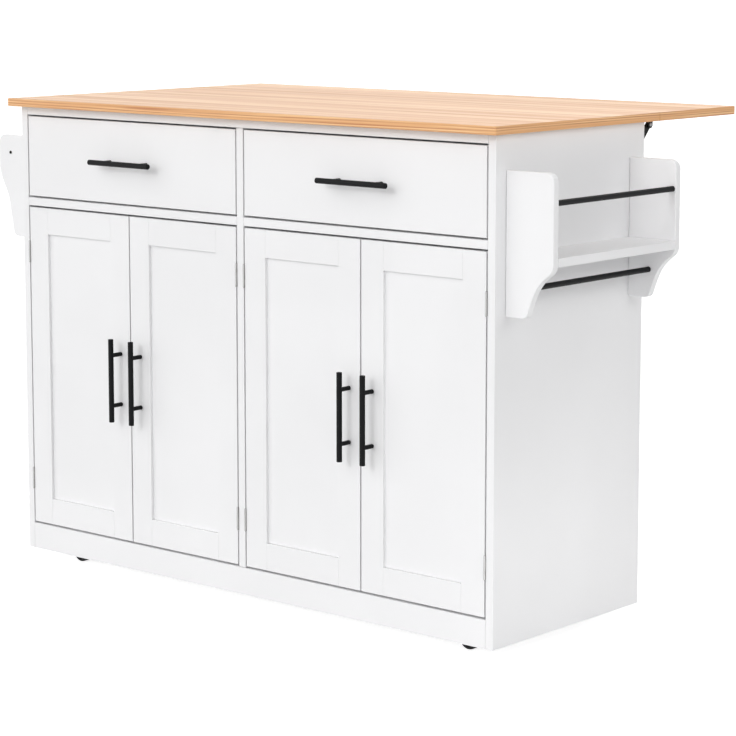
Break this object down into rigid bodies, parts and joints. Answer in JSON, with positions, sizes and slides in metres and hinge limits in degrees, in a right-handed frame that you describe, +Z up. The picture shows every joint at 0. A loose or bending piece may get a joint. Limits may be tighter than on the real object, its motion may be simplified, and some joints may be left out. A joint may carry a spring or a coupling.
{
  "type": "drop leaf kitchen island",
  "caption": "White kitchen island on castors with an oak top whose rear leaf folds down, drawers over framed double doors, a spice rack and a towel rack on its sides.",
  "frame": {"origin": "on the floor, under the middle of the bounding box with the leaf raised", "axes": "+X along the front to the right, +Y from the front to the back, +Z up"},
  "size_m": [1.3566, 0.719, 0.9083],
  "materials": {
    "white_board": "white painted fibreboard, satin",
    "drawer_board": "white laminated board, matt",
    "oak_top": "light oak grain, satin lacquer",
    "black_handle": "matt black powder coat",
    "black_bracket": "black coated pressed steel",
    "hinge_steel": "nickel plated steel",
    "castor_steel": "zinc plated pressed steel",
    "castor_wheel": "black moulded wheel, matt"
  },
  "bodies": {
    "root": {"side_panel_left": "white_board", "side_panel_right": "white_board", "bottom_panel": "white_board", "kick_board": "white_board", "back_panel": "white_board", "top_rail_front": "white_board", "top_rail_rear": "white_board", "centre_partition": "white_board", "drawer_deck_left": "white_board", "drawer_deck_right": "white_board", "shelf_left": "white_board", "shelf_right": "white_board", "worktop": "oak_top", "bracket_wall_arm_left": "black_bracket", "bracket_wall_arm_right": "black_bracket", "door_hinge_1_lower": "hinge_steel", "door_hinge_1_upper": "hinge_steel", "door_hinge_2_lower": "hinge_steel", "door_hinge_2_upper": "hinge_steel", "door_hinge_3_lower": "hinge_steel", "door_hinge_3_upper": "hinge_steel", "door_hinge_4_lower": "hinge_steel", "door_hinge_4_upper": "hinge_steel", "spice_side_front": "white_board", "spice_side_rear": "white_board", "spice_shelf": "white_board", "spice_rail_bar": "black_handle", "spice_towel_bar": "black_handle", "towel_side_front": "white_board", "towel_side_rear": "white_board", "towel_bar": "black_handle"},
    "leaf": {"drop_leaf": "oak_top", "bracket_leaf_arm_left": "black_bracket", "bracket_leaf_arm_right": "black_bracket"},
    "lower_link_left": {"bracket_lower_link_left": "black_bracket"},
    "lower_link_right": {"bracket_lower_link_right": "black_bracket"},
    "upper_link_left": {"bracket_upper_link_left": "black_bracket"},
    "upper_link_right": {"bracket_upper_link_right": "black_bracket"},
    "door_1": {"door_1": "white_board", "door_handle_1": "black_handle"},
    "door_2": {"door_2": "white_board", "door_handle_2": "black_handle"},
    "door_3": {"door_3": "white_board", "door_handle_3": "black_handle"},
    "door_4": {"door_4": "white_board", "door_handle_4": "black_handle"},
    "drawer_left": {"drawer_front_left": "white_board", "drawer_box_left": "drawer_board", "drawer_handle_left": "black_handle"},
    "drawer_right": {"drawer_front_right": "white_board", "drawer_box_right": "drawer_board", "drawer_handle_right": "black_handle"},
    "castor_front_left": {"castor_fork_front_left": "castor_steel"},
    "castor_front_right": {"castor_fork_front_right": "castor_steel"},
    "castor_rear_left": {"castor_fork_rear_left": "castor_steel"},
    "castor_rear_right": {"castor_fork_rear_right": "castor_steel"},
    "wheel_front_left": {"castor_wheel_front_left": "castor_wheel"},
    "wheel_front_right": {"castor_wheel_front_right": "castor_wheel"},
    "wheel_rear_left": {"castor_wheel_rear_left": "castor_wheel"},
    "wheel_rear_right": {"castor_wheel_rear_right": "castor_wheel"}
  },
  "joints": [
    {"name": "leaf_fold", "type": "hinge", "parent": "root", "child": "leaf", "pos_m": [0, 0.1175, 0.8873], "axis": [-1, 0, 0], "range_deg": [0, 90]},
    {"name": "lower_link_left_turn", "type": "hinge", "parent": "root", "child": "lower_link_left", "pos_m": [-0.487, 0.106, 0.7283], "axis": [-1, 0, 0], "range_deg": [-42.5, 0]},
    {"name": "lower_link_right_turn", "type": "hinge", "parent": "root", "child": "lower_link_right", "pos_m": [0.487, 0.106, 0.7283], "axis": [-1, 0, 0], "range_deg": [-42.5, 0]},
    {"name": "upper_link_left_turn", "type": "hinge", "parent": "leaf", "child": "upper_link_left", "pos_m": [-0.487, 0.2405, 0.8758], "axis": [-1, 0, 0], "range_deg": [0, 48]},
    {"name": "upper_link_right_turn", "type": "hinge", "parent": "leaf", "child": "upper_link_right", "pos_m": [0.487, 0.2405, 0.8758], "axis": [-1, 0, 0], "range_deg": [0, 48]},
    {"name": "door_1_swing", "type": "hinge", "parent": "root", "child": "door_1", "pos_m": [-0.5625, -0.3299, 0.389], "axis": [0, 0, -1], "range_deg": [0, 110]},
    {"name": "door_2_swing", "type": "hinge", "parent": "root", "child": "door_2", "pos_m": [-0.0095, -0.3299, 0.389], "axis": [0, 0, 1], "range_deg": [0, 82]},
    {"name": "door_3_swing", "type": "hinge", "parent": "root", "child": "door_3", "pos_m": [0.0095, -0.3299, 0.389], "axis": [0, 0, -1], "range_deg": [0, 82]},
    {"name": "door_4_swing", "type": "hinge", "parent": "root", "child": "door_4", "pos_m": [0.5625, -0.3299, 0.389], "axis": [0, 0, 1], "range_deg": [0, 110]},
    {"name": "drawer_left_slide", "type": "slide", "parent": "root", "child": "drawer_left", "axis": [0, -1, 0], "range_m": [0, 0.28]},
    {"name": "drawer_right_slide", "type": "slide", "parent": "root", "child": "drawer_right", "axis": [0, -1, 0], "range_m": [0, 0.28]},
    {"name": "castor_front_left_swivel", "type": "hinge", "parent": "root", "child": "castor_front_left", "pos_m": [-0.505, -0.2705, 0.05], "axis": [0, 0, 1], "continuous": true},
    {"name": "castor_front_right_swivel", "type": "hinge", "parent": "root", "child": "castor_front_right", "pos_m": [0.505, -0.2705, 0.05], "axis": [0, 0, 1], "continuous": true},
    {"name": "castor_rear_left_swivel", "type": "hinge", "parent": "root", "child": "castor_rear_left", "pos_m": [-0.505, 0.0195, 0.05], "axis": [0, 0, 1], "continuous": true},
    {"name": "castor_rear_right_swivel", "type": "hinge", "parent": "root", "child": "castor_rear_right", "pos_m": [0.505, 0.0195, 0.05], "axis": [0, 0, 1], "continuous": true},
    {"name": "wheel_front_left_roll", "type": "hinge", "parent": "castor_front_left", "child": "wheel_front_left", "pos_m": [-0.487, -0.2705, 0.02], "axis": [0, 1, 0], "continuous": true},
    {"name": "wheel_front_right_roll", "type": "hinge", "parent": "castor_front_right", "child": "wheel_front_right", "pos_m": [0.487, -0.2705, 0.02], "axis": [0, 1, 0], "continuous": true},
    {"name": "wheel_rear_left_roll", "type": "hinge", "parent": "castor_rear_left", "child": "wheel_rear_left", "pos_m": [-0.487, 0.0195, 0.02], "axis": [0, 1, 0], "continuous": true},
    {"name": "wheel_rear_right_roll", "type": "hinge", "parent": "castor_rear_right", "child": "wheel_rear_right", "pos_m": [0.487, 0.0195, 0.02], "axis": [0, 1, 0], "continuous": true}
  ],
  "couplings": [
    {"joint": "lower_link_left_turn", "follows": "leaf_fold", "ratio": -0.47069},
    {"joint": "lower_link_right_turn", "follows": "leaf_fold", "ratio": -0.47069},
    {"joint": "upper_link_left_turn", "follows": "leaf_fold", "ratio": 0.52931},
    {"joint": "upper_link_right_turn", "follows": "leaf_fold", "ratio": 0.52931}
  ]
}
